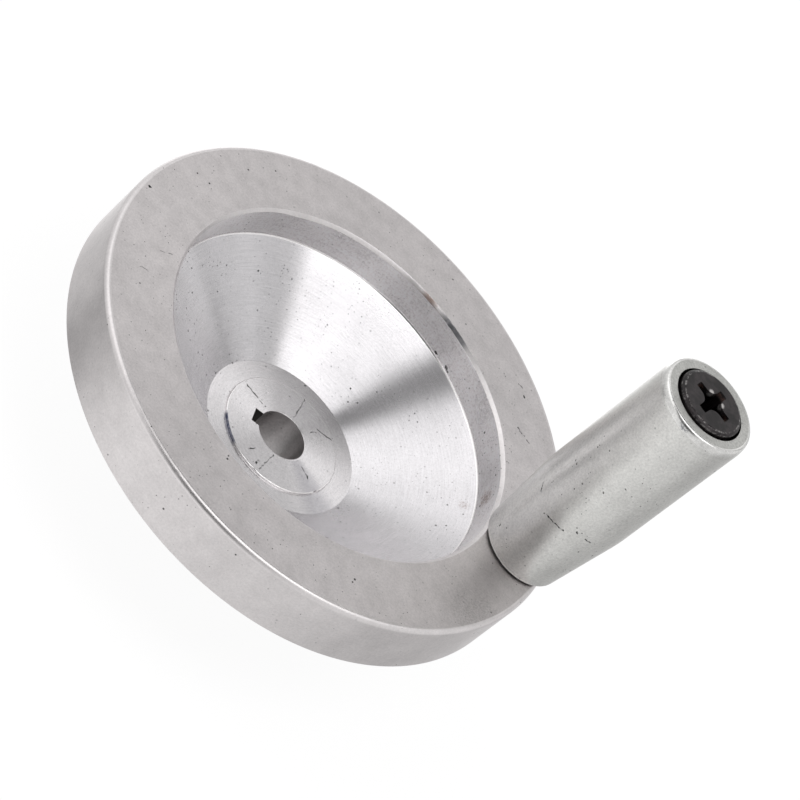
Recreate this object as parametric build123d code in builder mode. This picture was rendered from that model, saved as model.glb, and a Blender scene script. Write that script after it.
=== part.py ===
from build123d import *
from math import atan2, cos
import os

# A machine handwheel: a dished, turned aluminium wheel with a keyed bore, and a steel
# grip that turns on a shouldered screw in the wheel's rim.
#
# Millimetres. The origin is the bore's centre on the hub's back face, +Z runs along the
# bore towards the dished front, and the handle stands on +X.

# ------------------------------------------------------------------ driving dimensions

# Rim: a flat-faced ring around the dish
wheel_diameter = 120.0
rim_width = 15.0  # along the axis
rim_radial_width = 17.0  # outer edge to the dish's mouth
rim_front_round = 1.2
rim_back_break = 0.5
mouth_break = 0.75  # bevel where the rim's face meets the dish
recess_depth = 8.5  # straight wall from the rim's face down to the cone

# Web: a cone of even thickness from the foot of the straight wall to the hub
dish_depth = 22.5  # rim's face to the boss's face
web_thickness = 5.5  # square to the cone
web_back_blend = 2.0  # bevel between the rim's back and the web's back

# Hub
hub_length = 18.0
hub_face_diameter = 38.4  # flat ring where the cone ends
boss_diameter = 29.1
boss_height = 0.6
boss_edge_break = 0.2
hub_back_diameter = 32.0
hub_back_break = 1.0
hub_root_fillet = 3.0

# Bore and keyway, for a 12 mm shaft with a 4 x 4 key
bore_diameter = 12.0
bore_front_break = 0.2
keyway_width = 4.0
keyway_depth = 1.8  # beyond the bore's crown
keyway_angle = 189.0  # degrees from the handle

# Grip: a sleeve with a tapered root and a counterbored end
handle_inset = 7.5  # rim's outer edge to the handle's axis
grip_diameter = 23.2
grip_root_diameter = 19.6
grip_taper_length = 21.0
grip_length = 59.6
grip_root_break = 0.5
grip_end_bevel = 0.45  # across the end face
grip_end_bevel_length = 1.4  # along the grip
counterbore_depth = 5.3
counterbore_break = 0.25

# Handle screw: head, shoulder and threaded end
thread_diameter = 8.0
thread_tip_inset = 2.0  # the screw stops short of the rim's back face
thread_tip_chamfer = 1.0
shoulder_seat_width = 1.0  # ring of the shoulder that bears on the rim's face
head_diameter = 15.9
head_height = 6.0
head_bevel = 0.7  # across the head's top
head_bevel_height = 0.45
cross_span = 9.5  # tip to tip
cross_arm_width = 2.0
cross_corner_round = 2.1
cross_depth = 4.4
cross_flank_slope = 5.0  # degrees
cross_floor_diameter = 4.0
cross_angle = -18.0  # degrees from the wheel's radius

# Clearances
running_clearance = 0.05  # radial, grip on shoulder
rim_gap = 0.35  # rim's face to the grip's root
end_play = 0.25  # counterbore's floor to the screw's head
head_clearance = 0.5  # radial, head in the grip's counterbore
thread_clearance = 0.02  # radial, stands for the meshed thread
thread_mouth_chamfer = 0.6

# --------------------------------------------------------------------- derived places

wheel_radius = wheel_diameter / 2
mouth_radius = wheel_radius - rim_radial_width
hub_face_radius = hub_face_diameter / 2
hub_back_radius = hub_back_diameter / 2
boss_radius = boss_diameter / 2
bore_radius = bore_diameter / 2

rim_front_z = hub_length + dish_depth
rim_back_z = rim_front_z - rim_width
cone_rim_z = rim_front_z - recess_depth
hub_face_z = hub_length - boss_height

web_angle = atan2(cone_rim_z - hub_face_z, mouth_radius - hub_face_radius)
web_slope = (cone_rim_z - hub_face_z) / (mouth_radius - hub_face_radius)
web_drop = web_thickness / cos(web_angle)  # front of the web to its back, along the axis
web_root_z = hub_face_z + (hub_back_radius - hub_face_radius) * web_slope - web_drop
web_back_radius = hub_face_radius + (rim_back_z + web_drop - hub_face_z) / web_slope

handle_x = wheel_radius - handle_inset
handle_plane = Plane(origin=(handle_x, 0, rim_front_z), x_dir=(1, 0, 0), z_dir=(0, -1, 0))
handle_axis = Axis((handle_x, 0, rim_front_z), (0, 0, 1))

rim_face_plane = Plane(origin=(handle_x, 0, rim_front_z), z_dir=(0, 0, 1))

thread_radius = thread_diameter / 2
thread_length = rim_width - thread_tip_inset
tapped_radius = thread_radius + thread_clearance
shoulder_radius = thread_radius + shoulder_seat_width
head_radius = head_diameter / 2
grip_radius = grip_diameter / 2
grip_root_radius = grip_root_diameter / 2
grip_bore_radius = shoulder_radius + running_clearance
counterbore_radius = head_radius + head_clearance

grip_end = rim_gap + grip_length
grip_step = grip_end - counterbore_depth  # counterbore's floor, above the rim's face
shoulder_length = grip_step + end_play
head_top = shoulder_length + head_height


def corner(radius, height):
    """The corner of the profile being drawn that lies nearest to a radius and a height."""
    return vertices().sort_by_distance((radius, height))[0]


# ------------------------------------------------------------------------------ wheel

with BuildPart() as wheel:
    with BuildSketch(Plane.XZ):
        with BuildLine():
            Polyline(
                (bore_radius, 0),
                (hub_back_radius, 0),
                (hub_back_radius, web_root_z),
                (web_back_radius, rim_back_z),
                (wheel_radius, rim_back_z),
                (wheel_radius, rim_front_z),
                (mouth_radius, rim_front_z),
                (mouth_radius, cone_rim_z),
                (hub_face_radius, hub_face_z),
                (boss_radius, hub_face_z),
                (boss_radius, hub_length),
                (bore_radius, hub_length),
                close=True,
            )
        make_face()
        fillet(corner(wheel_radius, rim_front_z), rim_front_round)
        chamfer(corner(wheel_radius, rim_back_z), rim_back_break)
        chamfer(corner(mouth_radius, rim_front_z), mouth_break)
        chamfer(corner(web_back_radius, rim_back_z), web_back_blend)
        fillet(corner(hub_back_radius, web_root_z), hub_root_fillet)
        chamfer(corner(hub_back_radius, 0), hub_back_break)
        chamfer(corner(boss_radius, hub_length), boss_edge_break)
        chamfer(corner(bore_radius, hub_length), bore_front_break)
    revolve(axis=Axis.Z)

    # Keyway, broached through the hub
    with BuildSketch(Plane.XY):
        Rectangle(
            bore_radius + keyway_depth,
            keyway_width,
            rotation=keyway_angle,
            align=(Align.MIN, Align.CENTER),
        )
    extrude(amount=hub_length, mode=Mode.SUBTRACT)

    # Tapped hole for the handle screw, through the rim
    with BuildSketch(Plane.XY.offset(rim_back_z)):
        with Locations((handle_x, 0)):
            Circle(tapped_radius)
    extrude(amount=rim_width, mode=Mode.SUBTRACT)
    tapped_mouth = (
        wheel.edges()
        .filter_by(GeomType.CIRCLE)
        .filter_by_position(Axis.Z, rim_back_z, rim_back_z)
        .sort_by_distance((handle_x, 0, rim_back_z))[0]
    )
    chamfer(tapped_mouth, thread_mouth_chamfer)

# ----------------------------------------------------------------------- handle screw

# The cross recess: four arms with near-upright flanks, whose tips lean in to a small
# floor, so the space is a cone cut down to the arms' outline
with BuildPart() as cross_recess:
    with BuildSketch(handle_plane):
        with BuildLine():
            Polyline(
                (0, head_top - cross_depth),
                (cross_floor_diameter / 2, head_top - cross_depth),
                (cross_span / 2, head_top),
                (0, head_top),
                close=True,
            )
        make_face()
    revolve(axis=handle_axis)
    with BuildSketch(rim_face_plane.offset(head_top)):
        Rectangle(cross_span, cross_arm_width, rotation=cross_angle)
        Rectangle(cross_arm_width, cross_span, rotation=cross_angle)
        inner_corners = vertices().sort_by_distance((0, 0))[:4]
        fillet(inner_corners, cross_corner_round)
    extrude(amount=-cross_depth, taper=cross_flank_slope, mode=Mode.INTERSECT)

with BuildPart() as handle_screw:
    with BuildSketch(handle_plane):
        with BuildLine():
            Polyline(
                (0, -thread_length),
                (thread_radius, -thread_length),
                (thread_radius, 0),
                (shoulder_radius, 0),
                (shoulder_radius, shoulder_length),
                (head_radius, shoulder_length),
                (head_radius, head_top - head_bevel_height),
                (head_radius - head_bevel, head_top),
                (0, head_top),
                close=True,
            )
        make_face()
        chamfer(corner(thread_radius, -thread_length), thread_tip_chamfer)
    revolve(axis=handle_axis)
    add(cross_recess.part, mode=Mode.SUBTRACT)

# ------------------------------------------------------------------------------- grip

with BuildPart() as handle_grip:
    with BuildSketch(handle_plane):
        with BuildLine():
            Polyline(
                (grip_bore_radius, rim_gap),
                (grip_root_radius, rim_gap),
                (grip_radius, rim_gap + grip_taper_length),
                (grip_radius, grip_end - grip_end_bevel_length),
                (grip_radius - grip_end_bevel, grip_end),
                (counterbore_radius, grip_end),
                (counterbore_radius, grip_step),
                (grip_bore_radius, grip_step),
                close=True,
            )
        make_face()
        chamfer(corner(grip_root_radius, rim_gap), grip_root_break)
        chamfer(corner(counterbore_radius, grip_end), counterbore_break)
    revolve(axis=handle_axis)

# ------------------------------------------------------------------------------ write

wheel.part.label = "wheel"
handle_screw.part.label = "handle_screw"
handle_grip.part.label = "handle_grip"

os.makedirs("parts", exist_ok=True)
export_step(wheel.part, "parts/wheel.step")
export_step(handle_screw.part, "parts/handle_screw.step")
export_step(handle_grip.part, "parts/handle_grip.step")
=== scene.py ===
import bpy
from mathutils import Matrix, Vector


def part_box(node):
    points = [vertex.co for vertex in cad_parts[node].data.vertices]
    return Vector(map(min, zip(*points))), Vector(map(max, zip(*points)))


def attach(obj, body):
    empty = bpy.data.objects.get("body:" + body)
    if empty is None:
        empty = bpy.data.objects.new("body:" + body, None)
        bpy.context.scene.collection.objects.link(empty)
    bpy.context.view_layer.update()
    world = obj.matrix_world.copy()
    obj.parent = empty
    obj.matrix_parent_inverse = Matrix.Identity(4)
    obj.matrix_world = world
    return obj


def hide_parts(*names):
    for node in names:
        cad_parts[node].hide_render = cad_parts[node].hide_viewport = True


bl_info = {
    "name": "Machine Handwheel",
    "version": (1, 0, 0),
    "blender": (4, 5, 0),
    "location": "3D View > Sidebar > Handwheel",
    "description": "Models and finishes a dished handwheel with a revolving handle",
    "category": "Object",
}

from collections import namedtuple
from math import atan2, cos, hypot, pi, radians, sin, tan

import bmesh
import bpy
from mathutils import Matrix, Vector, noise

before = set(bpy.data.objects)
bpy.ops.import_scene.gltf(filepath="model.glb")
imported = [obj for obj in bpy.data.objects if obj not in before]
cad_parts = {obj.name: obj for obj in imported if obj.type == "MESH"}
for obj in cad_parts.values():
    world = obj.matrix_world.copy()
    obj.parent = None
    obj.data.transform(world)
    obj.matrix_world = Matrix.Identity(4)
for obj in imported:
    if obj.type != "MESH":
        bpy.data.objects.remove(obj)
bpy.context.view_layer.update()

MM = 0.001
TINY = 1e-6
WHEEL_LOW, WHEEL_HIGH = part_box("wheel")
GRIP_LOW, GRIP_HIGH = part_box("handle_grip")
SCREW_LOW, SCREW_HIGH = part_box("handle_screw")
HANDLE_X = (GRIP_LOW.x + GRIP_HIGH.x) / 2

WHEEL_STEPS = 720
GRIP_STEPS = 180
SCREW_STEPS = 96
HOLE_STEPS = 64
CORNER_SEGMENTS = 5
CROSS_SEGMENTS = 8
SMOOTH_BELOW = 40  # degrees between two faces
CUTTER_EXCESS = 1.2  # a cutter's length over that of what it cuts through


# ------------------------------------------------------------------------ properties


def length(name, description, value):
    """A size in millimetres, held in metres."""
    return bpy.props.FloatProperty(
        name=name,
        description=description,
        default=value * MM,
        min=0.0,
        precision=5,
        unit="LENGTH",
        subtype="DISTANCE",
    )


def angle(name, description, value):
    """An angle in degrees, held in radians."""
    return bpy.props.FloatProperty(
        name=name, description=description, default=radians(value), subtype="ANGLE"
    )


def colour(name, description, value):
    """A linear colour."""
    return bpy.props.FloatVectorProperty(
        name=name, description=description, default=value, size=3, min=0.0, max=1.0, subtype="COLOR"
    )


class HandwheelSizes(bpy.types.PropertyGroup):
    """Sizes of the wheel's section"""

    rim_width: length("Rim width", "Rim, along the bore", 15.0)
    rim_face: length("Rim face", "Rim's flat face, outer edge to the dish", 17.0)
    rim_round: length("Rim round", "Rounding of the rim's front edge", 1.2)
    mouth_break: length("Mouth break", "Bevel where the rim's face meets the dish", 0.75)
    recess: length("Recess", "Straight wall from the rim's face to the cone", 8.5)
    web: length("Web", "Thickness of the cone, square to its face", 5.5)
    hub_length: length("Hub length", "Hub, from its back to the boss", 18.0)
    hub_ring: length("Hub ring radius", "Flat ring where the cone ends", 19.2)
    hub_back: length("Hub back radius", "Hub behind the web", 16.0)
    boss: length("Boss radius", "Raised face round the bore", 14.55)
    boss_height: length("Boss height", "Boss, above the flat ring", 0.6)
    bore: length("Bore radius", "Hole for the shaft", 6.0)
    keyway_width: length("Keyway width", "Slot beside the bore", 4.0)
    keyway_reach: length("Keyway reach", "Bore's axis to the slot's floor", 7.8)
    keyway_angle: angle("Keyway angle", "Slot's place, from the handle", 189.0)
    tapped_hole: length("Tapped hole radius", "Hole for the handle's screw", 4.02)


class HandleSizes(bpy.types.PropertyGroup):
    """Sizes of the revolving grip and its screw"""

    root: length("Root radius", "Grip, at the rim", 9.8)
    taper: length("Taper", "Grip's root, along its axis", 21.0)
    grip_bore: length("Grip bore radius", "Running fit on the screw's shoulder", 5.05)
    counterbore: length("Counterbore radius", "Space for the screw's head", 8.45)
    counterbore_depth: length("Counterbore depth", "Grip's end to the seat", 5.3)
    end_bevel: length("End bevel", "Bevel at the grip's end, across the face", 0.45)
    end_bevel_length: length("End bevel length", "Bevel at the grip's end, along the grip", 1.4)
    thread: length("Thread radius", "Screw's end in the rim", 4.0)
    shoulder: length("Shoulder radius", "Screw's axle for the grip", 5.0)
    head_height: length("Head height", "Screw's head, seat to top", 6.0)
    head_bevel: length("Head bevel", "Bevel of the head, across its top", 0.7)
    head_bevel_height: length("Head bevel height", "Bevel of the head, along its side", 0.45)
    cross_span: length("Cross span", "Recess, tip to tip", 9.5)
    cross_arm: length("Cross arm width", "Recess, across an arm", 2.0)
    cross_round: length("Cross corner round", "Rounding between two arms", 2.1)
    cross_depth: length("Cross depth", "Recess, down from the head's top", 4.4)
    cross_floor: length("Cross floor radius", "Recess, at its floor", 2.0)
    cross_slope: angle("Cross slope", "Lean of the arms' flanks", 5.0)
    cross_angle: angle("Cross angle", "Turn of the recess from the wheel's radius", -18.0)


class HandwheelColours(bpy.types.PropertyGroup):
    """Colours of the metals"""

    rim: colour("Rim", "Rim's flat face", (0.65, 0.62, 0.62))
    edge: colour("Edges", "Rim's round and the mouth's bevel", (0.74, 0.71, 0.71))
    step: colour("Steps", "Foot of the dish's wall, and the boss's edge", (0.96, 0.94, 0.94))
    band: colour("Band", "Outside of the rim", (0.74, 0.71, 0.71))
    wall: colour("Wall", "Straight wall of the dish", (0.96, 0.94, 0.94))
    cone: colour("Cone", "Sloping face of the dish", (0.745, 0.728, 0.745))
    hub: colour("Hub", "Flat ring and boss", (0.73, 0.71, 0.72))
    # The bore's colour is darker than the rest of the wheel's aluminium: painted shade down the bore
    bore: colour("Bore", "Hole for the shaft", (0.50, 0.48, 0.48))
    # The keyway's colour is near black: painted shade in the narrow slot, on the wheel's aluminium
    keyway: colour("Keyway", "Walls of the keyway", (0.10, 0.095, 0.09))
    back: colour("Back", "Faces behind the rim", (0.66, 0.64, 0.64))
    grip: colour("Grip", "Plated side of the grip", (0.70, 0.695, 0.675))
    grip_edge: colour("Grip edge", "Bevels of the grip", (0.78, 0.775, 0.76))
    grip_face: colour("Grip face", "End of the grip", (0.53, 0.53, 0.51))
    # The counterbore's colour is near black: painted shade round the screw's head, on the grip's plated
    # steel
    counterbore: colour("Counterbore", "Space for the screw's head", (0.06, 0.06, 0.058))
    screw: colour("Screw", "Blackened steel", (0.023, 0.019, 0.020))


def wheel_sizes():
    """The wheel's sizes as they are set in the scene."""
    return bpy.context.scene.handwheel_sizes


def handle_sizes():
    """The grip's and the screw's sizes as they are set in the scene."""
    return bpy.context.scene.handle_sizes


def colours():
    """The metals' colours as they are set in the scene."""
    return bpy.context.scene.handwheel_colours


# -------------------------------------------------------------------------- modelling

# A corner of a half section: its place, the size of its rounding, the finish of the run from
# it to the next corner, and the finish of the rounding where it has its own
Corner = namedtuple("Corner", "radius height ease zone turn", defaults=[None])


def only(obj):
    """Leaves one object selected and active, in object mode."""
    if bpy.context.object and bpy.context.object.mode != "OBJECT":
        bpy.ops.object.mode_set(mode="OBJECT")
    bpy.ops.object.select_all(action="DESELECT")
    obj.select_set(True)
    bpy.context.view_layer.objects.active = obj


def select_points(obj, test):
    """In edit mode, selects the vertices whose place passes a test."""
    bpy.ops.mesh.select_mode(type="VERT")
    bpy.ops.mesh.select_all(action="DESELECT")
    mesh = bmesh.from_edit_mesh(obj.data)
    for point in mesh.verts:
        point.select_set(test(point.co))
    mesh.select_flush_mode()
    bmesh.update_edit_mesh(obj.data)


def turned(name, corners, axis_x, steps):
    """Draws half a section corner by corner, eases its corners and spins it about an upright axis."""
    bpy.ops.object.select_all(action="DESELECT")
    places = [Vector((axis_x + c.radius, 0, c.height)) for c in corners]

    # A small plane, merged to one point, is the first corner
    bpy.ops.mesh.primitive_plane_add(size=MM, location=places[0])
    obj = bpy.context.object
    obj.name = obj.data.name = name
    bpy.ops.object.transform_apply(location=True)
    bpy.ops.object.mode_set(mode="EDIT")
    bpy.ops.mesh.select_all(action="SELECT")
    bpy.ops.mesh.merge(type="CENTER")
    for before, after in zip(places, places[1:]):
        bpy.ops.mesh.extrude_vertices_move(TRANSFORM_OT_translate={"value": after - before})
    closed = min(c.radius for c in corners) > 0
    if closed:
        select_points(obj, lambda p: min((p - places[0]).length, (p - places[-1]).length) < TINY)
        bpy.ops.mesh.edge_face_add()
    for corner, place in zip(corners, places):
        if corner.ease:
            select_points(obj, lambda p: (p - place).length < TINY)
            bpy.ops.mesh.bevel(offset=corner.ease, segments=CORNER_SEGMENTS, affect="VERTICES")
    bpy.ops.mesh.select_all(action="SELECT")
    bpy.ops.mesh.spin(steps=steps, angle=2 * pi, center=(axis_x, 0, 0), axis=(0, 0, 1))
    bpy.ops.mesh.select_all(action="SELECT")
    bpy.ops.mesh.remove_doubles(threshold=TINY)
    bpy.ops.mesh.normals_make_consistent(inside=False)
    bpy.ops.object.mode_set(mode="OBJECT")
    return obj


def smooth(obj):
    """Rounds the shading over shallow corners, and lets the large faces lead it so that they stay true."""
    only(obj)
    bpy.ops.object.shade_smooth_by_angle(angle=radians(SMOOTH_BELOW))
    weigh = obj.modifiers.new("weigh", "WEIGHTED_NORMAL")
    weigh.mode = "FACE_AREA"
    weigh.weight = 100
    weigh.keep_sharp = True
    bpy.ops.object.modifier_apply(modifier=weigh.name)


def cut(obj, tool, operation="DIFFERENCE"):
    """Cuts one solid with another and deletes the tool."""
    only(obj)
    knife = obj.modifiers.new("cut", "BOOLEAN")
    knife.operation = operation
    knife.solver = "EXACT"
    knife.object = tool
    bpy.ops.object.modifier_apply(modifier=knife.name)
    bpy.data.objects.remove(tool)


def off_segment(r, z, a, b):
    """Distance from a point of the section to the straight run between two corners."""
    run = Vector((b.radius - a.radius, b.height - a.height))
    to = Vector((r - a.radius, z - a.height))
    along = max(0.0, min(1.0, to.dot(run) / run.length_squared))
    return (to - run * along).length


def wander(obj, radius, height, outward, upward, waves):
    """Moves a turned edge out and up by uneven amounts round the axis, as when it is broken by hand."""
    reach = 0.15 * MM
    for point in obj.data.vertices:
        place = point.co
        r = hypot(place.x, place.y)
        if hypot(r - radius, place.z - height) > reach:
            continue
        ray = Vector((place.x, place.y, 0)) / r
        shift = 0.9 * noise.noise(ray * waves) + 0.1 * noise.noise(ray * waves * 5)
        place += ray * outward * shift + Vector((0, 0, upward * shift))


def dent(obj, centre, radius, depth):
    """Pushes the points round a place towards it and in, as a knock leaves them."""
    middle = Vector((0, 0, centre.z))
    for point in obj.data.vertices:
        off = (point.co - centre).length / radius
        if off < 1:
            point.co += (middle - point.co).normalized() * depth * (1 - off * off)


def paint_zones(obj, corners, axis_x, finishes):
    """Gives each face the finish of the run of the section that it was spun from."""
    obj.data.materials.clear()
    names = list(finishes)
    for zone in names:
        obj.data.materials.append(finishes[zone])
    runs = [(a, b) for a, b in zip(corners, corners[1:] + corners[:1]) if a.zone]
    for face in obj.data.polygons:
        r = hypot(face.center.x - axis_x, face.center.y)
        z = face.center.z
        nearest = min(runs, key=lambda run: off_segment(r, z, *run))
        zone = nearest[0].zone
        for corner in corners:
            if corner.turn and hypot(r - corner.radius, z - corner.height) < corner.ease:
                zone = corner.turn
        face.material_index = names.index(zone)


def wheel_section():
    """The wheel's half section, from the bore's back round the outside."""
    s = wheel_sizes()
    outer = WHEEL_HIGH.x
    front = WHEEL_HIGH.z
    back = front - s.rim_width
    mouth = outer - s.rim_face
    cone_top = front - s.recess
    ring = s.hub_length - s.boss_height
    slope = atan2(cone_top - ring, mouth - s.hub_ring)
    drop = s.web / cos(slope)
    root = ring + (s.hub_back - s.hub_ring) * tan(slope) - drop
    web_out = s.hub_ring + (back + drop - ring) / tan(slope)
    root_round = 3.0 * MM
    fine = 0.08 * MM
    return [
        Corner(s.bore, 0, 0.4 * MM, "back"),
        Corner(s.hub_back, 0, 1.0 * MM, "back"),
        Corner(s.hub_back, root, root_round * tan((pi / 2 - slope) / 2), "back"),
        Corner(web_out, back, 2.0 * MM, "back"),
        Corner(outer, back, 0.5 * MM, "band"),
        Corner(outer, front, s.rim_round, "rim", "edge"),
        Corner(mouth + s.mouth_break, front, fine, "edge"),
        Corner(mouth, front - s.mouth_break, fine, "wall"),
        Corner(mouth, cone_top, 0.4 * MM, "cone", "step"),
        Corner(s.hub_ring, ring, fine, "hub"),
        Corner(s.boss, ring, fine, "step"),
        Corner(s.boss, s.hub_length, 0.3 * MM, "hub", "step"),
        Corner(s.bore, s.hub_length, 0.2 * MM, "bore"),
    ]


def wear_edges(wheel):
    """Lets the edges that were broken by hand wander, and dents the knocked places."""
    s = wheel_sizes()
    front = WHEEL_HIGH.z
    mouth = WHEEL_HIGH.x - s.rim_face
    mouth_wander = 0.30 * MM
    boss_wander = 0.12 * MM
    wander(wheel, mouth, front - s.mouth_break, 0, mouth_wander, waves=4)
    wander(wheel, mouth + s.mouth_break, front, mouth_wander, 0, waves=4)
    wander(wheel, s.boss, s.hub_length, boss_wander, 0, waves=9)
    for knock in WHEEL_KNOCKS:
        turn = Matrix.Rotation(radians(knock.angle), 3, "Z")
        place = turn @ Vector((knock.radius, 0, knock.height)) * MM
        dent(wheel, place, knock.size * MM, knock.depth * MM)


def keyway_cutter():
    """A block from the bore's axis to the keyway's floor, right through the hub."""
    s = wheel_sizes()
    turn = Matrix.Rotation(s.keyway_angle, 3, "Z")
    bpy.ops.mesh.primitive_cube_add(
        size=1,
        location=turn @ Vector((s.keyway_reach / 2, 0, s.hub_length / 2)),
        rotation=(0, 0, s.keyway_angle),
        scale=(s.keyway_reach, s.keyway_width, s.hub_length * CUTTER_EXCESS),
    )
    return bpy.context.object


def tapped_hole_cutter():
    """A cylinder on the handle's axis, right through the rim."""
    s = wheel_sizes()
    bpy.ops.mesh.primitive_cylinder_add(
        radius=s.tapped_hole,
        depth=s.rim_width * CUTTER_EXCESS,
        vertices=HOLE_STEPS,
        location=(HANDLE_X, 0, WHEEL_HIGH.z - s.rim_width / 2),
    )
    return bpy.context.object


def paint_keyway(wheel, finish_index):
    """Gives the keyway's walls, which were cut and not turned, and the bore's back edge their near-black
    finish: painted shade in the narrow slot.
    """
    s = wheel_sizes()
    margin = 0.02 * MM
    under_boss = s.hub_length - 0.3 * MM
    for face in wheel.data.polygons:
        out = hypot(face.center.x, face.center.y)
        beside_bore = s.bore + margin < out < s.keyway_reach + TINY
        if beside_bore and margin < face.center.z < under_boss:
            face.material_index = finish_index


class HANDWHEEL_OT_wheel(bpy.types.Operator):
    """Turns the wheel from its section and cuts its keyway and tapped hole"""

    bl_idname = "handwheel.wheel"
    bl_label = "Wheel"

    def execute(self, context):
        section = wheel_section()
        wheel = turned("turned_wheel", section, 0.0, WHEEL_STEPS)
        wear_edges(wheel)
        cut(wheel, keyway_cutter())
        cut(wheel, tapped_hole_cutter())
        smooth(wheel)
        finishes = metals("aluminium", WHEEL_FINISHES, 0.0, WHEEL_MARKS, WHEEL_STAINS_AND_SHADE, WHEEL_STRETCHES)
        paint_zones(wheel, section, 0.0, finishes)
        paint_keyway(wheel, list(finishes).index("keyway"))
        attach(wheel, "wheel_body")
        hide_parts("wheel")
        return {"FINISHED"}


def grip_section():
    """The grip's half section, from its bore at the rim round the outside."""
    s = handle_sizes()
    outer = (GRIP_HIGH.x - GRIP_LOW.x) / 2
    low, high = GRIP_LOW.z, GRIP_HIGH.z
    seat = high - s.counterbore_depth
    return [
        Corner(s.grip_bore, low, 0.2 * MM, "face"),
        Corner(s.root, low, 0.5 * MM, "side", "corner"),
        Corner(outer, low + s.taper, 1.5 * MM, "side"),
        Corner(outer, high - s.end_bevel_length, 0.8 * MM, "corner"),
        Corner(outer - s.end_bevel, high, 0.60 * MM, "face", "corner"),
        Corner(s.counterbore, high, 0.25 * MM, "inside"),
        Corner(s.counterbore, seat, 0, "inside"),
        Corner(s.grip_bore, seat, 0.1 * MM, "inside"),
    ]


class HANDWHEEL_OT_grip(bpy.types.Operator):
    """Turns the grip from its section"""

    bl_idname = "handwheel.grip"
    bl_label = "Grip"

    def execute(self, context):
        section = grip_section()
        grip = turned("turned_grip", section, HANDLE_X, GRIP_STEPS)
        smooth(grip)
        finishes = metals("zinc", GRIP_FINISHES, HANDLE_X, GRIP_MARKS, GRIP_PAINTED_REFLECTIONS, {})
        paint_zones(grip, section, HANDLE_X, finishes)
        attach(grip, "grip_body")
        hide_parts("handle_grip")
        return {"FINISHED"}


def screw_section():
    """The screw's half section, from the middle of its threaded end to the middle of its head."""
    s = handle_sizes()
    outer = SCREW_HIGH.x - HANDLE_X
    low, high = SCREW_LOW.z, SCREW_HIGH.z
    seat = high - s.head_height
    rim = WHEEL_HIGH.z
    return [
        Corner(0, low, 0, "steel"),
        Corner(s.thread, low, 1.0 * MM, "steel"),
        Corner(s.thread, rim, 0, "steel"),
        Corner(s.shoulder, rim, 0, "steel"),
        Corner(s.shoulder, seat, 0, "steel"),
        Corner(outer, seat, 0.2 * MM, "steel"),
        Corner(outer, high - s.head_bevel_height, 0.25 * MM, "steel"),
        Corner(outer - s.head_bevel, high, 0.25 * MM, "steel"),
        Corner(0, high, 0, "steel"),
    ]


def cross_cutter():
    """The cross recess as a solid: four arms whose tips lean in to a small floor."""
    s = handle_sizes()
    top = SCREW_HIGH.z
    over = 0.5 * MM
    middle = Vector((HANDLE_X, 0, top + over))
    half = s.cross_arm / 2
    bpy.ops.object.select_all(action="DESELECT")
    bpy.ops.mesh.primitive_plane_add(size=s.cross_arm, location=middle)
    cross = bpy.context.object
    bpy.ops.object.transform_apply(location=True)
    bpy.ops.object.mode_set(mode="EDIT")
    for turn in range(4):
        way = Matrix.Rotation(turn * pi / 2, 3, "Z") @ Vector((1, 0, 0))
        select_points(
            cross, lambda p: (p - middle).dot(way) > half - TINY and (p - middle).length < s.cross_arm
        )
        bpy.ops.mesh.extrude_region_move(TRANSFORM_OT_translate={"value": way * s.cross_span / 2})
    bpy.ops.mesh.select_all(action="SELECT")
    bpy.ops.mesh.dissolve_faces()
    select_points(cross, lambda p: (p - middle).length < s.cross_arm)
    bpy.ops.mesh.bevel(offset=s.cross_round, segments=CROSS_SEGMENTS, affect="VERTICES")
    bpy.ops.mesh.select_all(action="SELECT")
    bpy.ops.mesh.extrude_region_move(TRANSFORM_OT_translate={"value": (0, 0, -over)})
    narrowing = s.cross_depth * tan(s.cross_slope)
    bpy.ops.mesh.inset(thickness=narrowing, depth=0)
    bpy.ops.transform.translate(value=(0, 0, -s.cross_depth))
    bpy.ops.mesh.select_all(action="SELECT")
    bpy.ops.mesh.normals_make_consistent(inside=False)
    bpy.ops.transform.rotate(
        value=-s.cross_angle, orient_axis="Z", center_override=(HANDLE_X, 0, top)
    )
    bpy.ops.object.mode_set(mode="OBJECT")
    lean = (s.cross_span / 2 - s.cross_floor) / s.cross_depth
    bpy.ops.mesh.primitive_cone_add(
        vertices=SCREW_STEPS,
        radius1=s.cross_floor,
        radius2=s.cross_span / 2 + over * lean,
        depth=s.cross_depth + over,
        location=(HANDLE_X, 0, top - (s.cross_depth - over) / 2),
    )
    cone = bpy.context.object
    cut(cross, cone, "INTERSECT")
    return cross


class HANDWHEEL_OT_screw(bpy.types.Operator):
    """Turns the screw from its section and cuts the cross recess in its head"""

    bl_idname = "handwheel.screw"
    bl_label = "Screw"

    def execute(self, context):
        section = screw_section()
        screw = turned("turned_screw", section, HANDLE_X, SCREW_STEPS)
        cut(screw, cross_cutter())
        smooth(screw)
        paint_zones(screw, section, HANDLE_X, {"steel": black_oxide()})
        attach(screw, "wheel_body")
        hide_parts("handle_screw")
        return {"FINISHED"}


# --------------------------------------------------------------------------- finishes

TO_NUMBER = ("LENGTH", "DISTANCE", "DOT_PRODUCT")  # vector operations that give a number
WHITE = (1, 1, 1, 1)


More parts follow.
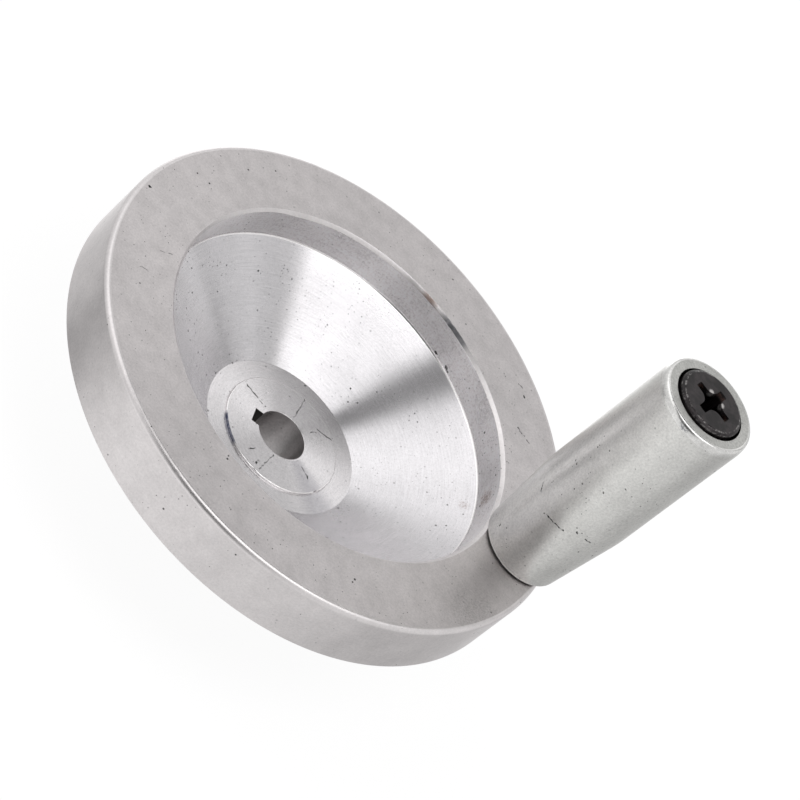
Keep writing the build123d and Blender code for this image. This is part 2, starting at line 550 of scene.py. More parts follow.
class Graph:
    """Adds nodes to a shader tree and joins them."""

    def __init__(self, tree):
        self.tree = tree

    def put(self, socket, value):
        """Links a socket to a node's output, or sets its value."""
        if isinstance(value, bpy.types.NodeSocket):
            self.tree.links.new(value, socket)
        elif value is not None:
            socket.default_value = value

    def add(self, kind, *values, inputs=None, **options):
        """Adds a node, with its options, and fills its sockets in order and by name."""
        node = self.tree.nodes.new(kind)
        for name, value in options.items():
            setattr(node, name, value)
        for socket, value in zip(node.inputs, values):
            self.put(socket, value)
        for name, value in (inputs or {}).items():
            self.put(node.inputs[name], value)
        return node

    def maths(self, operation, *values):
        """An operation on numbers."""
        return self.add("ShaderNodeMath", *values, operation=operation).outputs[0]

    def product(self, first, *others):
        """Numbers multiplied together."""
        for other in others:
            first = self.maths("MULTIPLY", first, other)
        return first

    def vector(self, operation, *values):
        """An operation on vectors."""
        node = self.add("ShaderNodeVectorMath", *values, operation=operation)
        return node.outputs["Value" if operation in TO_NUMBER else "Vector"]

    def scale(self, vector, factor):
        """A vector times a number."""
        node = self.add("ShaderNodeVectorMath", vector, operation="SCALE", inputs={"Scale": factor})
        return node.outputs["Vector"]

    def ease(self, value, low, high, to_low=0.0, to_high=1.0):
        """Goes smoothly from one value to another as the input goes from low to high."""
        node = self.add(
            "ShaderNodeMapRange", value, low, high, to_low, to_high, interpolation_type="SMOOTHSTEP"
        )
        return node.outputs[0]

    def mix(self, share, low, high):
        """A blend of two numbers."""
        return self.add("ShaderNodeMix", share, None, low, high).outputs[0]

    def tint(self, share, low, high):
        """A blend of two colours."""
        node = self.add("ShaderNodeMix", data_type="RGBA")
        for socket, value in zip((node.inputs[0], node.inputs[6], node.inputs[7]), (share, low, high)):
            self.put(socket, value)
        return node.outputs[2]

    def noise(self, where, scale, detail=2.0, roughness=0.5):
        """Noise from 0 to 1."""
        node = self.add(
            "ShaderNodeTexNoise",
            inputs={"Vector": where, "Scale": scale, "Detail": detail, "Roughness": roughness},
        )
        return node.outputs["Fac"]

    def axis(self, vector, name):
        """One coordinate of a vector."""
        return self.add("ShaderNodeSeparateXYZ", vector).outputs[name]


def group(name, inputs, output):
    """A node group with its inputs and one output named."""
    tree = bpy.data.node_groups.new(name, "ShaderNodeTree")
    for label, kind in inputs.items():
        tree.interface.new_socket(label, in_out="INPUT", socket_type=kind)
    tree.interface.new_socket(output, in_out="OUTPUT", socket_type="NodeSocketFloat")
    graph = Graph(tree)
    start = graph.add("NodeGroupInput")
    end = graph.add("NodeGroupOutput")
    return graph, start.outputs, end.inputs[0]


def scratch_group():
    """Mask of a thin line between two points, broken along its length."""
    point = "NodeSocketVector"
    number = "NodeSocketFloat"
    graph, given, result = group(
        "scratch",
        {"Place": point, "From": point, "To": point, "Width": number, "Breaks": number, "Gaps": number},
        "Mask",
    )
    run = graph.vector("SUBTRACT", given["To"], given["From"])
    to = graph.vector("SUBTRACT", given["Place"], given["From"])
    share = graph.add(
        "ShaderNodeMath",
        graph.vector("DOT_PRODUCT", to, run),
        graph.vector("DOT_PRODUCT", run, run),
        operation="DIVIDE",
        use_clamp=True,
    ).outputs[0]
    off = graph.vector("DISTANCE", to, graph.scale(run, share))
    line = graph.ease(graph.maths("DIVIDE", off, given["Width"]), 0.5, 0.8, 1.0, 0.0)
    broken = graph.mix(given["Gaps"], 1.0, given["Breaks"])
    graph.put(result, graph.maths("MULTIPLY", line, broken))
    return graph.tree


def stain_and_shade_group():
    """Mask of a ragged soft patch round a point."""
    point = "NodeSocketVector"
    number = "NodeSocketFloat"
    graph, given, result = group(
        "stain_and_shade", {"Point": point, "Centre": point, "Radius": number, "Rags": number}, "Mask"
    )
    off = graph.vector("DISTANCE", given["Point"], given["Centre"])
    reach = graph.maths("DIVIDE", off, given["Radius"])
    ragged = graph.maths("ADD", reach, given["Rags"])
    graph.put(result, graph.ease(ragged, 0.7, 1.4, 1.0, 0.0))
    return graph.tree


def shared(name, make):
    """A node group that several materials use, made the first time it is asked for."""
    return bpy.data.node_groups.get(name) or make()


# A finish names its colour and the way that its tool marks run, across a face or along a
# wall, and gives the strength of the marks, the mottling, the speckles and the pits
Finish = namedtuple("Finish", "colour roughness anisotropy grain lines mottle speckle pits")

# Wear and painted light, with places and sizes in millimetres on the piece and angles in degrees: knocks in
# the metal, scratches from start to end, round stains and patches of painted shade, and tinted stretches of
# a turned run, most of them painted reflections and shade
Knock = namedtuple("Knock", "angle radius height size depth")
Mark = namedtuple("Mark", "start end width gaps")
StainAndShade = namedtuple("StainAndShade", "centre radius tint")
Stretch = namedtuple("Stretch", "angle span radius reach soft tint")
Glint = namedtuple("Glint", "centre radius")

SOOT = (0.03, 0.03, 0.03, 1)
RUST = (0.45, 0.36, 0.32, 1)
# Painted shade: darkens the rim round the grip's root, where the grip shades it
PAINTED_GRIP_SHADE = (0.78, 0.78, 0.78, 1)
# Painted dark reflection: on a stretch of the mouth's bevel and on the grip's end corner
PAINTED_DARK_REFLECTION = (0.35, 0.36, 0.38, 1)
# Painted reflection: a dark blue stretch along the boss's edge
PAINTED_BLUE_REFLECTION = (0.06, 0.07, 0.12, 1)
# Painted shade: a darker wedge across the hub's face
PAINTED_HUB_SHADE = (0.72, 0.72, 0.74, 1)
# Painted shade: near black, deep in the cross recess
PAINTED_RECESS_SHADE = (0.006, 0.005, 0.005, 1)
# Pale steel of wear, which also gives painted highlight lines and glints on the screw's head
WORN_STEEL_AND_HIGHLIGHT = (0.55, 0.53, 0.52, 1)
SCREW_RUST = (0.10, 0.045, 0.03, 1)

WHEEL_FINISHES = {
    "rim": Finish("rim", 0.45, 0.4, "face", 0.020, 0.40, 0.45, 0.60),
    "edge": Finish("edge", 0.35, 0.0, "face", 0.0, 0.25, 0.30, 0.20),
    "band": Finish("band", 0.36, 0.85, "wall", 0.020, 0.30, 0.35, 0.30),
    "wall": Finish("wall", 0.30, 0.7, "wall", 0.080, 0.40, 0.90, 1.50),
    "cone": Finish("cone", 0.25, 1.0, "face", 0.070, 0.12, 0.28, 1.40),
    "hub": Finish("hub", 0.24, 1.0, "face", 0.070, 0.12, 0.38, 0.90),
    "step": Finish("step", 0.25, 0.0, "wall", 0.0, 0.20, 0.20, 0.10),
    "bore": Finish("bore", 0.40, 0.5, "wall", 0.080, 0.50, 0.60, 1.00),
    "keyway": Finish("keyway", 0.45, 0.0, "wall", 0.020, 0.40, 0.40, 0.30),
    "back": Finish("back", 0.40, 0.5, "face", 0.080, 0.35, 0.30, 0.35),
}
GRIP_FINISHES = {
    "side": Finish("grip", 0.38, 0.2, "wall", 0.010, 0.30, 0.62, 0.60),
    "corner": Finish("grip_edge", 0.24, 0.0, "wall", 0.0, 0.60, 0.50, 0.30),
    "face": Finish("grip_face", 0.40, 0.3, "face", 0.015, 0.40, 0.90, 0.45),
    # The inside's near-black colour is painted shade round the screw's head
    "inside": Finish("counterbore", 0.45, 0.0, "wall", 0.020, 0.40, 0.30, 0.30),
}
WHEEL_KNOCKS = (
    Knock(252.2, 60.0, 40.3, 0.8, 0.12),
    Knock(254.9, 60.0, 40.4, 0.7, 0.10),
    Knock(229.6, 60.0, 40.2, 0.7, 0.10),
    Knock(334.2, 14.6, 18.0, 0.9, 0.25),
    Knock(72.5, 43.4, 40.2, 1.0, 0.25),
)
WHEEL_MARKS = {
    "cone": (
        Mark((-31.0, 11.2, 25.9), (-31.0, 11.3, 25.9), 0.32, 0.0),
        Mark((-35.4, 3.1, 27.4), (-35.3, 3.2, 27.4), 0.24, 0.0),
        Mark((-33.2, 16.7, 28.4), (-33.1, 16.8, 28.4), 0.24, 0.0),
        Mark((-26.9, 23.9, 27.7), (-26.8, 24.0, 27.7), 0.24, 0.0),
        Mark((-21.8, 30.2, 28.5), (-21.7, 30.3, 28.5), 0.24, 0.0),
    ),
    "wall": (
        Mark((15.5, 40.1, 32.7), (15.9, 39.9, 32.6), 0.50, 0.2),
        Mark((19.3, 38.4, 33.0), (20.3, 37.9, 32.6), 0.45, 0.3),
    ),
    "hub": (
        Mark((-12.53, 4.58, 18), (-10.90, 4.00, 18), 0.22, 0.2),
        Mark((-10.90, 4.00, 18), (-9.98, 3.95, 18), 0.20, 0.0),
        Mark((-9.98, 3.95, 18), (-8.51, 3.39, 18), 0.25, 0.0),
        Mark((-8.51, 3.39, 18), (-7.07, 3.18, 18), 0.20, 0.2),
        Mark((5.81, 9.52, 18), (10.13, 10.26, 18), 0.20, 0.0),
        Mark((-0.20, 14.42, 18), (0.24, 6.77, 18), 0.22, 0.8),
        Mark((0.80, -6.93, 18), (0.08, -13.68, 18), 0.28, 0.8),
        Mark((7.27, -3.27, 18), (10.06, -4.74, 18), 0.25, 0.8),
        Mark((4.96, 7.24, 18), (5.60, 7.95, 18), 0.20, 0.0),
        Mark((5.60, 7.95, 18), (6.05, 8.40, 18), 0.17, 0.0),
        Mark((-3.13, -9.05, 18), (-4.26, -10.86, 18), 0.25, 0.8),
        Mark((-1.00, -11.60, 18), (-1.50, -12.90, 18), 0.42, 0.8),
    ),
    "rim": (
        Mark((-57.80, 2.97, 40.5), (-57.70, 3.10, 40.5), 0.55, 0.0),
        Mark((-58.9, 8.2, 40.5), (-58.2, 10.2, 40.5), 0.25, 0.3),
        Mark((33.4, 42.6, 40.5), (34.8, 42.0, 40.5), 0.22, 0.3),
        Mark((-47.5, -10.1, 40.5), (-45.2, -8.6, 40.5), 0.14, 0.3),
        Mark((-49.0, -18.4, 40.5), (-46.6, -17.6, 40.5), 0.12, 0.5),
        Mark((38.6, 30.2, 40.5), (40.7, 29.5, 40.5), 0.22, 0.2),
        Mark((41.6, 29.0, 40.5), (42.5, 28.9, 40.5), 0.25, 0.0),
        Mark((35.9, 40.6, 40.5), (36.5, 40.1, 40.5), 0.25, 0.0),
        Mark((29.2, 41.6, 40.5), (30.4, 40.9, 40.5), 0.20, 0.5),
    ),
}
WHEEL_STAINS_AND_SHADE = {
    # On the rim, painted shade round the grip's root; on the cone and the wall, rust
    "rim": (StainAndShade((50.0, -27.0, 40.5), 11.0, PAINTED_GRIP_SHADE),),
    "cone": (StainAndShade((39.8, 9.6, 30.0), 1.9, RUST),),
    "wall": (StainAndShade((41.7, 10.6, 35.2), 3.4, RUST),),
}
WHEEL_STRETCHES = {
    # On the mouth's bevel, a brown stretch, and a dark stretch that is a painted reflection
    "edge": (Stretch(82, 5, 43.4, 1.0, 1.5, RUST), Stretch(70, 11, 43.4, 1.0, 1.5, PAINTED_DARK_REFLECTION)),
    # A painted dark blue reflection along the boss's edge
    "step": (Stretch(-137, 32, 14.5, 1.0, 1.0, PAINTED_BLUE_REFLECTION),),
    # A painted darker wedge of shade across the hub's face
    "hub": (Stretch(-30, 24, 13.0, 6.5, 2.0, PAINTED_HUB_SHADE),),
}
GRIP_MARKS = {
    "side": (
        Mark((42.6, -5.9, 61.4), (43.4, -6.9, 60.3), 0.28, 0.5),
        Mark((47.1, -10.0, 59.2), (49.4, -11.0, 59.6), 0.24, 0.7),
        Mark((49.4, -11.0, 59.6), (51.7, -11.4, 60.2), 0.24, 0.7),
        Mark((53.8, -11.5, 62.3), (54.1, -11.5, 62.2), 0.32, 0.0),
        Mark((56.2, -11.0, 62.2), (57.7, -10.4, 61.8), 0.25, 0.5),
        Mark((52.6, -11.6, 79.1), (52.9, -11.6, 79.0), 0.26, 0.0),
        Mark((50.5, -11.5, 74.5), (50.7, -11.5, 74.3), 0.30, 0.3),
        Mark((42.7, -6.4, 72.0), (42.9, -6.5, 71.8), 0.26, 0.3),
        Mark((44.0, -5.7, 45.6), (44.1, -5.8, 45.1), 0.30, 0.0),
    ),
}
GRIP_PAINTED_REFLECTIONS = {
    # A painted dark reflection on the grip's end corner
    "corner": (StainAndShade((50.0, -11.2, 99.6), 1.8, PAINTED_DARK_REFLECTION),),
}
# Pale spots of wear placed at the glints in the cross: painted highlights as well as wear
SCREW_GLINTS = (Glint((51.3, 2.3, 100.9), 0.9), Glint((54.6, 1.2, 100.9), 0.9))

MARKS_ACROSS = 6.0  # noise cells of the tool marks, to a millimetre across them
MARKS_AROUND = 6.0  # and to a radian round the axis
PIT_KINDS = ((0.62, 0.17), (1.5, 0.20))  # cells to a millimetre, and the largest pit in a cell


def tool_marks(graph, around, along):
    """A noise drawn out round the axis, fine across it."""
    across = graph.maths("MULTIPLY", along, MARKS_ACROSS)
    feed = graph.add("ShaderNodeCombineXYZ", 0.0, 0.0, across).outputs[0]
    return graph.noise(graph.vector("ADD", graph.scale(around, MARKS_AROUND), feed), 1.0)


def pitted(graph, mm, amount):
    """Mask of pits, and of finer specks between them, both thicker in some places."""
    crowd = graph.ease(graph.noise(mm, 0.09), 0.42, 0.62, 0.25, 1.0)
    dark = 0.0
    for fineness, largest in PIT_KINDS:
        cells = graph.add("ShaderNodeTexVoronoi", inputs={"Vector": mm, "Scale": fineness})
        kind = graph.add("ShaderNodeSeparateColor", cells.outputs["Color"]).outputs
        size = graph.ease(kind[0], 1.0 - amount * 0.5, 1.0, 0.0, largest)
        pits = graph.ease(graph.maths("SUBTRACT", size, cells.outputs["Distance"]), -0.01, 0.03)
        dark = graph.maths("MAXIMUM", dark, graph.maths("MULTIPLY", pits, crowd))
    return dark


def scratched(graph, mm, dark, marks):
    """Adds scratches, a little crooked and broken, to a mask of dark places."""
    drift = graph.add("ShaderNodeTexNoise", inputs={"Vector": mm, "Scale": 0.9, "Detail": 2.0})
    drift = graph.vector("SUBTRACT", drift.outputs["Color"], (0.5, 0.5, 0.5))
    crooked = graph.vector("ADD", mm, drift)
    breaks = graph.ease(graph.noise(mm, 1.7, 1.0), 0.42, 0.55)
    for mark in marks:
        scratch = graph.add(
            "ShaderNodeGroup",
            node_tree=shared("scratch", scratch_group),
            inputs={
                "Place": crooked,
                "From": mark.start,
                "To": mark.end,
                "Width": mark.width,
                "Breaks": breaks,
                "Gaps": mark.gaps,
            },
        )
        dark = graph.maths("MAXIMUM", dark, scratch.outputs[0])
    return dark


def stained_and_shaded(graph, mm, rags, colour, stains_and_shade):
    """Tints a colour in ragged, grainy patches."""
    grains = graph.ease(graph.noise(mm, 2.2, 3.0, 0.7), 0.44, 0.60, 0.2, 1.0)
    for stain_and_shade in stains_and_shade:
        patch = graph.add(
            "ShaderNodeGroup",
            node_tree=shared("stain_and_shade", stain_and_shade_group),
            inputs={"Point": mm, "Centre": stain_and_shade.centre, "Radius": stain_and_shade.radius, "Rags": rags},
        )
        share = graph.maths("MULTIPLY", patch.outputs[0], grains)
        colour = graph.vector("MULTIPLY", colour, graph.tint(share, WHITE, stain_and_shade.tint))
    return colour


def stretched(graph, flat, rags, colour, stretches):
    """Tints a colour along parts of the way round the axis, with ragged ends."""
    turn = graph.maths("ARCTAN2", graph.axis(flat, "Y"), graph.axis(flat, "X"))
    from_axis = graph.vector("LENGTH", flat)
    ragged = graph.maths("MULTIPLY", rags, 2.0)
    patchy = graph.ease(rags, 0.35, 0.6, 0.8, 1.0)
    for stretch in stretches:
        off = graph.maths("ABSOLUTE", graph.maths("SUBTRACT", turn, radians(stretch.angle)))
        ends = graph.maths("ADD", graph.maths("MULTIPLY", off, stretch.radius), ragged)
        end = stretch.radius * radians(stretch.span) / 2 + 1.0
        near = graph.maths("COMPARE", from_axis, stretch.radius, stretch.reach)
        fade = graph.ease(ends, end - stretch.soft, end + stretch.soft, 1.0, 0.0)
        share = graph.product(near, patchy, fade)
        colour = graph.vector("MULTIPLY", colour, graph.tint(share, WHITE, stretch.tint))
    return colour


def metal(name, finish, centre_x, marks, stains_and_shade, stretches):
    """A machined metal: tool marks round its axis, mottling, speckles and pits, and its own wear, with
    painted shade and reflections.
    """
    material = bpy.data.materials.new(name)
    material.use_nodes = True
    graph = Graph(material.node_tree)
    shader = material.node_tree.nodes["Principled BSDF"]
    where = graph.add("ShaderNodeTexCoord").outputs["Object"]
    mm = graph.scale(where, 1 / MM)
    centred = graph.vector("SUBTRACT", mm, (centre_x / MM, 0, 0))
    flat = graph.vector("MULTIPLY", centred, (1, 1, 0))
    around = graph.vector("NORMALIZE", flat)

    # The highlight stretches across the tool marks
    if finish.grain == "face":
        along = graph.vector("LENGTH", flat)
        tangent = around
    else:
        along = graph.axis(mm, "Z")
        tangent = graph.add("ShaderNodeCombineXYZ", 0.0, 0.0, 1.0).outputs[0]
    posed = graph.add(
        "ShaderNodeVectorTransform", tangent, vector_type="VECTOR", convert_from="OBJECT", convert_to="WORLD"
    )
    graph.put(shader.inputs["Tangent"], posed.outputs[0])

    # Fine and broad patterns that make the metal lighter and darker
    lines = tool_marks(graph, around, along)
    mottle = graph.noise(mm, 0.22, 5.0, 0.62)
    speckle = graph.noise(mm, 1.9, 2.0, 0.8)
    smudges = graph.noise(mm, 0.045, 3.0)
    tone = 1.0
    for pattern, depth in (
        (mottle, finish.mottle),
        (lines, finish.lines * 4),
        (speckle, finish.speckle),
        (smudges, 0.25),
    ):
        swing = graph.maths("MULTIPLY", graph.maths("SUBTRACT", pattern, 0.5), depth)
        tone = graph.maths("ADD", tone, swing)
    colour = graph.scale(getattr(colours(), finish.colour), tone)

    # Wear, with painted shade and reflections among the stains and stretches
    rags = graph.noise(mm, 0.8, 4.0, 0.65)
    colour = stained_and_shaded(graph, mm, rags, colour, stains_and_shade)
    colour = stretched(graph, flat, rags, colour, stretches)
    dark = scratched(graph, mm, pitted(graph, mm, finish.pits), marks)
    graph.put(shader.inputs["Base Color"], graph.tint(dark, colour, SOOT))

    shader.inputs["Metallic"].default_value = 1.0
    shader.inputs["Anisotropic"].default_value = finish.anisotropy
    uneven = graph.ease(smudges, 0.3, 0.7, finish.roughness - 0.03, finish.roughness + 0.03)
    graph.put(shader.inputs["Roughness"], uneven)
    height = graph.maths("SUBTRACT", graph.maths("MULTIPLY", lines, finish.lines), dark)
    bump = graph.add("ShaderNodeBump", inputs={"Strength": 0.4, "Distance": 0.02 * MM, "Height": height})
    graph.put(shader.inputs["Normal"], bump.outputs[0])
    return material


def metals(kind, finishes, centre_x, marks, stains_and_shade, stretches):
    """A material for each finish of a piece."""
    return {
        zone: metal(
            f"{kind}_{zone}",
            finish,
            centre_x,
            marks.get(zone, ()),
            stains_and_shade.get(zone, ()),
            stretches.get(zone, ()),
        )
        for zone, finish in finishes.items()
    }


def black_oxide():
    """Blackened steel: an uneven oily black, pale with wear and painted highlights on the head's edge, rusty
    in the recess and painted dark with shade deep down it.
    """
    material = bpy.data.materials.new("black_oxide")
    material.use_nodes = True
    graph = Graph(material.node_tree)
    shader = material.node_tree.nodes["Principled BSDF"]
    mm = graph.scale(graph.add("ShaderNodeTexCoord").outputs["Object"], 1 / MM)
    centred = graph.vector("SUBTRACT", mm, (HANDLE_X / MM, 0, 0))
    radius = graph.vector("LENGTH", graph.vector("MULTIPLY", centred, (1, 1, 0)))
    height = graph.axis(mm, "Z")
    top = SCREW_HIGH.z / MM
    grit = graph.noise(mm, 1.2, 4.0, 0.7)
    fine = graph.ease(grit, 0.3, 0.7, 0.6, 1.5)
    broad = graph.ease(graph.noise(mm, 0.3), 0.35, 0.65, 0.5, 1.3)
    colour = graph.scale(colours().screw, graph.maths("MULTIPLY", fine, broad))

    # Wear on both edges of the head's bevel: two broken pale lines, which are painted highlight lines as
    # well
    edge = (SCREW_HIGH.x - HANDLE_X) / MM
    bevel = handle_sizes().head_bevel / MM
    inner = graph.maths("COMPARE", radius, edge - bevel, 0.18)
    outer = graph.maths("MULTIPLY", graph.maths("COMPARE", radius, edge, 0.14), 0.6)
    lines = graph.maths("MAXIMUM", inner, outer)
    near_top = graph.maths("GREATER_THAN", height, top - 0.8)
    chips = graph.ease(graph.noise(mm, 0.8, 4.0, 0.75), 0.46, 0.6)
    wear_and_highlights = graph.product(lines, near_top, chips, 0.5)

    # Bright spots on the corners of the cross, where the driver has slipped, placed at glints: painted
    # highlights as well as wear
    for glint in SCREW_GLINTS:
        off = graph.vector("DISTANCE", mm, glint.centre)
        ragged = graph.maths("ADD", off, graph.maths("MULTIPLY", grit, 0.8))
        rub_and_glint = graph.ease(ragged, glint.radius, glint.radius + 0.5, 1.0, 0.0)
        wear_and_highlights = graph.maths("MAXIMUM", wear_and_highlights, rub_and_glint)
    colour = graph.tint(wear_and_highlights, colour, WORN_STEEL_AND_HIGHLIGHT)

    # Rust at the tips of the cross's arms, and painted shade that darkens towards its floor
    within = graph.maths("LESS_THAN", radius, 5.5)
    in_head = graph.maths("GREATER_THAN", height, top - 5.0)
    recess = graph.maths("MULTIPLY", within, in_head)
    below_lip = graph.ease(height, top - 0.1, top - 0.5)
    above_floor = graph.ease(height, top - 1.6, top - 0.8)
    tips = graph.ease(radius, 3.0, 4.2)
    patches = graph.ease(grit, 0.35, 0.6)
    rust = graph.product(below_lip, above_floor, tips, patches, recess, 0.6)
    colour = graph.tint(rust, colour, SCREW_RUST)
    recess_shade = graph.maths("MULTIPLY", graph.ease(height, top - 1.4, top - 0.3, 1.0, 0.0), recess)
    shade_past_wear = graph.maths("SUBTRACT", recess_shade, graph.maths("MULTIPLY", wear_and_highlights, 2.0))
    graph.put(shader.inputs["Base Color"], graph.tint(shade_past_wear, colour, PAINTED_RECESS_SHADE))

    metallic = graph.maths("MAXIMUM", recess_shade, graph.ease(wear_and_highlights, 0.0, 0.3, 0.5, 1.0))
    graph.put(shader.inputs["Metallic"], metallic)
    graph.put(shader.inputs["Roughness"], graph.ease(grit, 0.3, 0.7, 0.34, 0.46))
    bump = graph.add("ShaderNodeBump", inputs={"Strength": 0.5, "Distance": 0.03 * MM, "Height": grit})
    graph.put(shader.inputs["Normal"], bump.outputs[0])
    return material


# ------------------------------------------------------------------------------ stage

# The camera, with angles in degrees and places in millimetres
CAMERA_LENS = 139.446
CAMERA_SENSOR = 36
CAMERA_AIM = (12.430, 8.389, 40.5)
CAMERA_AZIMUTH = -11.139
CAMERA_ELEVATION = 37.236
CAMERA_ROLL = 49.997
CAMERA_DISTANCE = 662.884

FLOOR_SIZE = 4  # metres
FLOOR_PAPER = 0.14  # what the floor gives back of the light, and loses in a shadow
FLOOR_GLOW = 0.9

# A card's place, size and softness are angles in degrees, as seen from the object
Card = namedtuple("Card", "azimuth elevation roll width height soft strength")

STUDIO_TONE = 0.8
STUDIO_CARDS = {
    "overhead softbox": Card(-60, 78, 0, 62, 32, 5, 2.1),
    "far softbox": Card(95, 38, 0, 65, 10, 6, 1.15),
    "dark behind camera": Card(-100, 35, 0, 47, 60, 6, 0.15),
    "dark above far side": Card(95, 65, 0, 50, 30, 6, 0.1),
    "side softbox": Card(165, 50, 0, 65, 35, 20, 1.5),
    "dark between softboxes": Card(-145, 60, -60, 40, 15, 5, 0.1),
    "dark below far side": Card(80, 12, 0, 60, 15, 6, 0.6),
    "first stand": Card(40, 22, 0, 6, 40, 2, 0.4),
    "second stand": Card(10, 47, 0, 6, 25, 2, 0.5),
    "left shade on the table": Card(155, -40, 0, 50, 50, 20, 0.6),
    "left edge of the table": Card(175, -40, 0, 24, 50, 2, 0.3),
    "right shade on the table": Card(10, -40, 0, 55, 50, 15, 0.5),
    "far side of the table": Card(90, -40, 0, 25, 75, 6, 1.5),
    "front of the table": Card(-120, -40, 0, 60, 40, 20, 1.1),
    "low backlight": Card(102, -12, 0, 32, 28, 5, 1.5),
    "dark beside the backlight": Card(68, -14, 0, 28, 28, 6, 0.5),
}


def card_group():
    """Mask of a soft-edged card at infinity, in a direction."""
    point = "NodeSocketVector"
    number = "NodeSocketFloat"
    graph, given, result = group(
        "card",
        {
            "Direction": point,
            "Facing": point,
            "Across": point,
            "Up": point,
            "Half width": number,
            "Half height": number,
            "Soft": number,
        },
        "Mask",
    )
    ahead = graph.vector("DOT_PRODUCT", given["Direction"], given["Facing"])
    masks = []
    for side, half in (("Across", "Half width"), ("Up", "Half height")):
        off = graph.vector("DOT_PRODUCT", given["Direction"], given[side])
        turn = graph.maths("ABSOLUTE", graph.maths("ARCTAN2", off, ahead))
        low = graph.maths("SUBTRACT", given[half], given["Soft"])
        high = graph.maths("ADD", given[half], given["Soft"])
        masks.append(graph.ease(turn, low, high, 1.0, 0.0))
    graph.put(result, graph.maths("MULTIPLY", *masks))
    return graph.tree


def light_studio(scene):
    """A pale studio of soft cards that the metal mirrors, white to the camera."""
    world = bpy.data.worlds.new("studio")
    scene.world = world
    world.use_nodes = True
    tree = world.node_tree
    tree.nodes.clear()
    graph = Graph(tree)
    direction = graph.add("ShaderNodeTexCoord").outputs["Generated"]
    tone = STUDIO_TONE
    for name, card in STUDIO_CARDS.items():
        azimuth, elevation, roll = (radians(v) for v in (card.azimuth, card.elevation, card.roll))
        facing = Vector((cos(elevation) * cos(azimuth), cos(elevation) * sin(azimuth), sin(elevation)))
        east = Vector((-sin(azimuth), cos(azimuth), 0))
        north = facing.cross(east)
        node = graph.add(
            "ShaderNodeGroup",
            node_tree=shared("card", card_group),
            label=name,
            inputs={
                "Direction": direction,
                "Facing": facing,
                "Across": east * cos(roll) + north * sin(roll),
                "Up": north * cos(roll) - east * sin(roll),
                "Half width": radians(card.width / 2),
                "Half height": radians(card.height / 2),
                "Soft": radians(card.soft),
            },
        )
        tone = graph.mix(node.outputs[0], tone, card.strength)
    seen = graph.add("ShaderNodeLightPath").outputs["Is Camera Ray"]
    strength = graph.mix(seen, tone, 1.0)
    light = graph.add("ShaderNodeBackground", WHITE, strength)
    out = graph.add("ShaderNodeOutputWorld")
    graph.put(out.inputs["Surface"], light.outputs[0])


def pale_floor():
    """A white floor under the hub, with a faint shadow on it, clear from below."""
    bpy.ops.object.select_all(action="DESELECT")
    bpy.ops.mesh.primitive_plane_add(size=FLOOR_SIZE)
    floor = bpy.context.object
    floor.name = "floor"
    material = bpy.data.materials.new("white_floor")
    material.use_nodes = True
    material.node_tree.nodes.clear()
    graph = Graph(material.node_tree)
    paper = graph.add("ShaderNodeBsdfDiffuse", (FLOOR_PAPER, FLOOR_PAPER, FLOOR_PAPER, 1))
    glow = graph.add("ShaderNodeEmission", WHITE, FLOOR_GLOW)
    white = graph.add("ShaderNodeAddShader", paper.outputs[0], glow.outputs[0])
    clear = graph.add("ShaderNodeBsdfTransparent")
    below = graph.add("ShaderNodeNewGeometry").outputs["Backfacing"]
    both = graph.add("ShaderNodeMixShader", below, white.outputs[0], clear.outputs[0])
    out = graph.add("ShaderNodeOutputMaterial")
    graph.put(out.inputs["Surface"], both.outputs[0])
    floor.data.materials.append(material)
    floor.visible_glossy = False
    floor.visible_diffuse = False
    floor.visible_shadow = False
    return floor


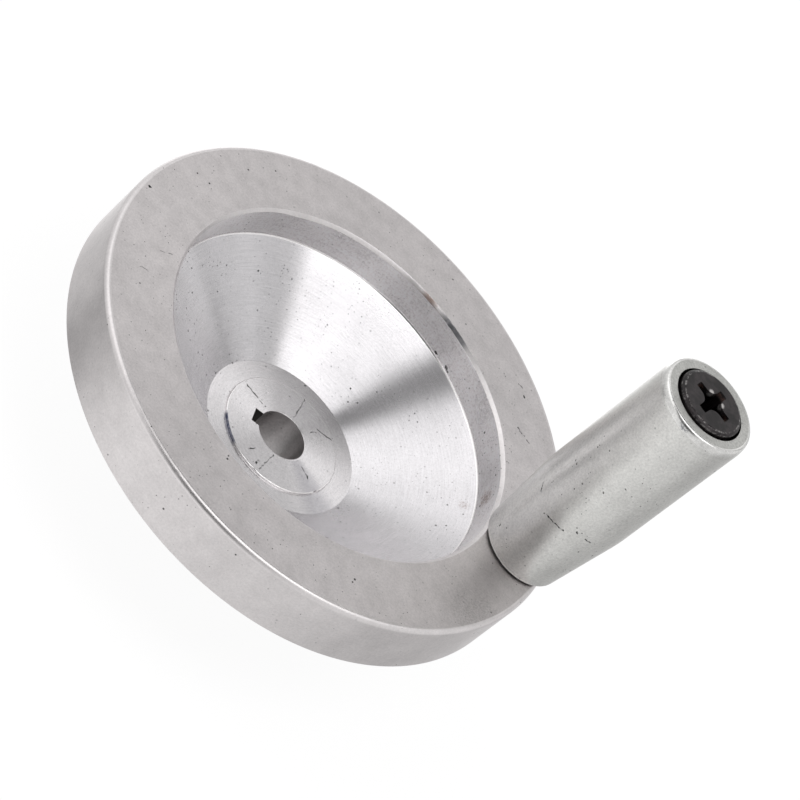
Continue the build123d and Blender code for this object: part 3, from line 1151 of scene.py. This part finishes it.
def place_camera(scene):
    """Looks at the wheel from its front and one side, with the camera rolled."""
    bpy.ops.object.camera_add()
    camera = bpy.context.object
    camera.data.lens = CAMERA_LENS
    camera.data.sensor_width = CAMERA_SENSOR
    camera.data.clip_start = 0.01
    camera.data.clip_end = 100
    azimuth, elevation = radians(CAMERA_AZIMUTH), radians(CAMERA_ELEVATION)
    away = Vector((sin(azimuth) * cos(elevation), -cos(azimuth) * cos(elevation), sin(elevation)))
    roll = Matrix.Rotation(radians(CAMERA_ROLL), 3, "Z")
    turn = (-away).to_track_quat("-Z", "Y").to_matrix() @ roll
    place = Vector(CAMERA_AIM) * MM + away * CAMERA_DISTANCE * MM
    camera.matrix_world = Matrix.Translation(place) @ turn.to_4x4()
    scene.camera = camera


class HANDWHEEL_OT_stage(bpy.types.Operator):
    """Sets the floor, the light and the camera"""

    bl_idname = "handwheel.stage"
    bl_label = "Stage"

    def execute(self, context):
        place_camera(context.scene)
        light_studio(context.scene)
        floor = pale_floor()
        context.scene.view_settings.view_transform = "Standard"
        return {"FINISHED"}


class HANDWHEEL_PT_pieces(bpy.types.Panel):
    """Lists the handwheel's sizes and the operators that make it"""

    bl_idname = "HANDWHEEL_PT_pieces"
    bl_label = "Machine Handwheel"
    bl_space_type = "VIEW_3D"
    bl_region_type = "UI"
    bl_category = "Handwheel"

    def draw(self, context):
        layout = self.layout
        for operator in ("stage", "wheel", "grip", "screw"):
            layout.operator(f"handwheel.{operator}")
        for sizes in (wheel_sizes(), handle_sizes(), colours()):
            box = layout.box()
            for name in sizes.__annotations__:
                box.prop(sizes, name)


CLASSES = (
    HandwheelSizes,
    HandleSizes,
    HandwheelColours,
    HANDWHEEL_OT_wheel,
    HANDWHEEL_OT_grip,
    HANDWHEEL_OT_screw,
    HANDWHEEL_OT_stage,
    HANDWHEEL_PT_pieces,
)


def register():
    """Registers the classes and hangs the settings on the scene."""
    for each in CLASSES:
        bpy.utils.register_class(each)
    bpy.types.Scene.handwheel_sizes = bpy.props.PointerProperty(type=HandwheelSizes)
    bpy.types.Scene.handle_sizes = bpy.props.PointerProperty(type=HandleSizes)
    bpy.types.Scene.handwheel_colours = bpy.props.PointerProperty(type=HandwheelColours)


def unregister():
    """Takes the settings and the classes away again."""
    del bpy.types.Scene.handwheel_colours
    del bpy.types.Scene.handle_sizes
    del bpy.types.Scene.handwheel_sizes
    for each in reversed(CLASSES):
        bpy.utils.unregister_class(each)


def main():
    register()
    bpy.ops.handwheel.stage()
    bpy.ops.handwheel.wheel()
    bpy.ops.handwheel.grip()
    bpy.ops.handwheel.screw()


if __name__ == "__main__":
    main()
